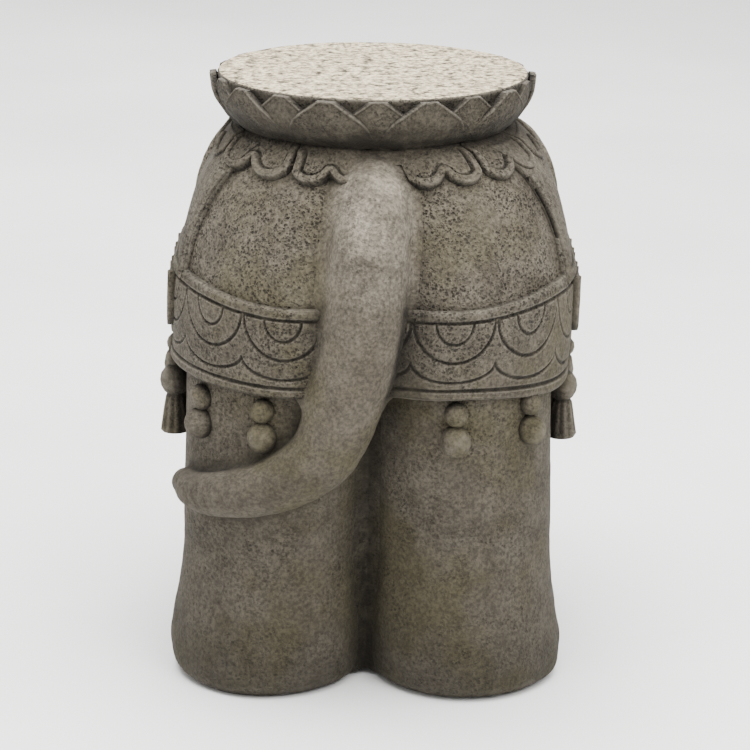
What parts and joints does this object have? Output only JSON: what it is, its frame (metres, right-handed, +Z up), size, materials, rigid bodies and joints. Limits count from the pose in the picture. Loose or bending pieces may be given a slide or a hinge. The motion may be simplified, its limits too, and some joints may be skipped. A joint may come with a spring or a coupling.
{
  "type": "elephant plant stand",
  "caption": "Cast-stone plant stand or garden stool: a standing elephant in harness ornaments, carrying a round flat-topped lotus seat.",
  "frame": {"origin": "on the floor, under the middle of the overall box", "axes": "+Z up; +Y towards the tail, -Y towards the head; +X towards the elephant's left"},
  "size_m": [0.3284, 0.4074, 0.46],
  "materials": {
    "cast_stone": "pitted, weathered, moss-stained",
    "seat_stone": "coarse sandy float finish on top",
    "mortar": "struck joint",
    "steel": "plain bar"
  },
  "bodies": {
    "root": {"belly_left": "cast_stone", "belly_right": "cast_stone", "blanket_border_left": "cast_stone", "blanket_border_right": "cast_stone", "breast_band_left": "cast_stone", "breast_band_right": "cast_stone", "breeching_band_left": "cast_stone", "breeching_band_right": "cast_stone", "chest_web": "cast_stone", "ear_left": "cast_stone", "ear_right": "cast_stone", "eyes": "cast_stone", "flank_tassels_left": "cast_stone", "flank_tassels_right": "cast_stone", "flank_web_left": "cast_stone", "flank_web_right": "cast_stone", "fore_bead_drops_left": "cast_stone", "fore_bead_drops_right": "cast_stone", "fore_leg_left": "cast_stone", "fore_leg_right": "cast_stone", "forehead_plate": "cast_stone", "head": "cast_stone", "hind_bead_drops_left": "cast_stone", "hind_bead_drops_right": "cast_stone", "hind_leg_left": "cast_stone", "hind_leg_right": "cast_stone", "leg_bars": "steel", "lotus_petals_inner": "cast_stone", "lotus_petals_outer": "cast_stone", "lotus_seat": "seat_stone", "mortar_bed": "mortar", "pendant_tabs_left": "cast_stone", "pendant_tabs_right": "cast_stone", "rear_web": "cast_stone", "saddle_blanket_left": "cast_stone", "saddle_blanket_right": "cast_stone", "seat_collar": "cast_stone", "seat_dowels": "steel", "tail": "cast_stone", "toenails_left": "cast_stone", "toenails_right": "cast_stone", "torso_shell": "cast_stone", "trunk": "cast_stone", "tusk_left": "cast_stone", "tusk_right": "cast_stone"}
  },
  "joints": []
}
